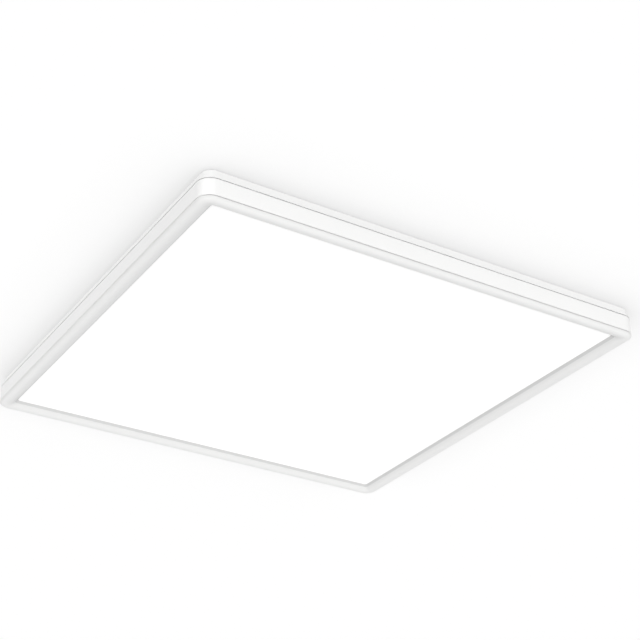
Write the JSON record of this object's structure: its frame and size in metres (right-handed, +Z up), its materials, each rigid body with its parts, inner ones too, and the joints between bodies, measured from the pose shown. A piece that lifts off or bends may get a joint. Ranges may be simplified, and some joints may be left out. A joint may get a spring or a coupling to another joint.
{
  "type": "flush mount ceiling light",
  "caption": "Slim square flush mount ceiling light: edge-lit panel in three stacked white mouldings, hung on a screwed-up bracket by spring clips.",
  "frame": {"origin": "middle of the bracket's top face, on the ceiling plane, midway between its two screw slots", "axes": "+Z up into the ceiling, the lamp hangs towards -Z; X along the bracket, Y towards the terminal box"},
  "size_m": [0.42, 0.42, 0.028],
  "materials": {
    "white_moulding": "satin white moulded plastic",
    "opal_diffuser": "matt opal sheet",
    "thin_film": "matt translucent film",
    "clear_acrylic": "polished clear acrylic",
    "white_film": "matt white film",
    "foam": "soft closed-cell foam",
    "galvanised_steel": "galvanised sheet",
    "spring_steel": "polished spring steel",
    "rivet_aluminium": "satin",
    "plain_aluminium": "mill finish",
    "white_board": "white solder resist",
    "green_board": "green solder resist",
    "led_phosphor": "yellow phosphor",
    "natural_nylon": "natural nylon",
    "white_insulation": "smooth insulation",
    "brown_insulation": "smooth insulation",
    "blue_insulation": "smooth insulation",
    "driver_plastic": "fine grained plastic",
    "black_plastic": "moulded component",
    "zinc_screw": "zinc plated",
    "grey_rubber": "soft rubber",
    "orange_plastic": "moulded plastic"
  },
  "bodies": {
    "bracket": {"mounting_bracket": "galvanised_steel", "retaining_springs": "spring_steel", "spring_rivets": "rivet_aluminium"},
    "lamp": {"rear_housing": "white_moulding", "side_frame": "white_moulding", "front_bezel": "white_moulding", "diffuser_plate": "opal_diffuser", "diffusing_film": "thin_film", "light_guide_plate": "clear_acrylic", "reflector_sheet": "white_film", "foam_pad": "foam", "back_plate": "galvanised_steel", "heatsink_rail_left": "plain_aluminium", "heatsink_rail_right": "plain_aluminium", "led_board_left": "white_board", "led_board_right": "white_board", "led_chips_left": "led_phosphor", "led_chips_right": "led_phosphor", "led_plugs": "natural_nylon", "led_lead_left": "white_insulation", "led_lead_right": "white_insulation", "lead_clips": "natural_nylon", "driver_case": "driver_plastic", "driver_lid": "driver_plastic", "driver_board": "green_board", "driver_components": "black_plastic", "driver_screws": "zinc_screw", "live_lead": "brown_insulation", "neutral_lead": "blue_insulation", "terminal_box": "white_moulding", "terminal_block": "natural_nylon", "terminal_box_screws": "zinc_screw", "cord_clamp": "natural_nylon", "cord_clamp_screws": "zinc_screw", "cable_grommet": "grey_rubber", "catch_plates": "galvanised_steel", "catch_rivets": "rivet_aluminium", "housing_screws": "zinc_screw", "well_screws": "zinc_screw", "rail_screws": "zinc_screw"},
    "terminal_cover": {"terminal_lid": "white_moulding"},
    "live_release": {"live_button": "orange_plastic"},
    "neutral_release": {"neutral_button": "orange_plastic"}
  },
  "joints": [
    {"name": "lamp_drop", "type": "slide", "parent": "bracket", "child": "lamp", "axis": [0, 0, -1], "range_m": [0, 0.045], "deforming": ["retaining_springs"]},
    {"name": "terminal_lid_hinge", "type": "hinge", "parent": "lamp", "child": "terminal_cover", "pos_m": [0, 0.0781, -0.0032], "axis": [-1, 0, 0], "range_deg": [0, 100]},
    {"name": "live_release_push", "type": "slide", "parent": "lamp", "child": "live_release", "axis": [0, 0, -1], "range_m": [0, 0.0012], "stiffness_N_per_m": 1500},
    {"name": "neutral_release_push", "type": "slide", "parent": "lamp", "child": "neutral_release", "axis": [0, 0, -1], "range_m": [0, 0.0012], "stiffness_N_per_m": 1500}
  ]
}
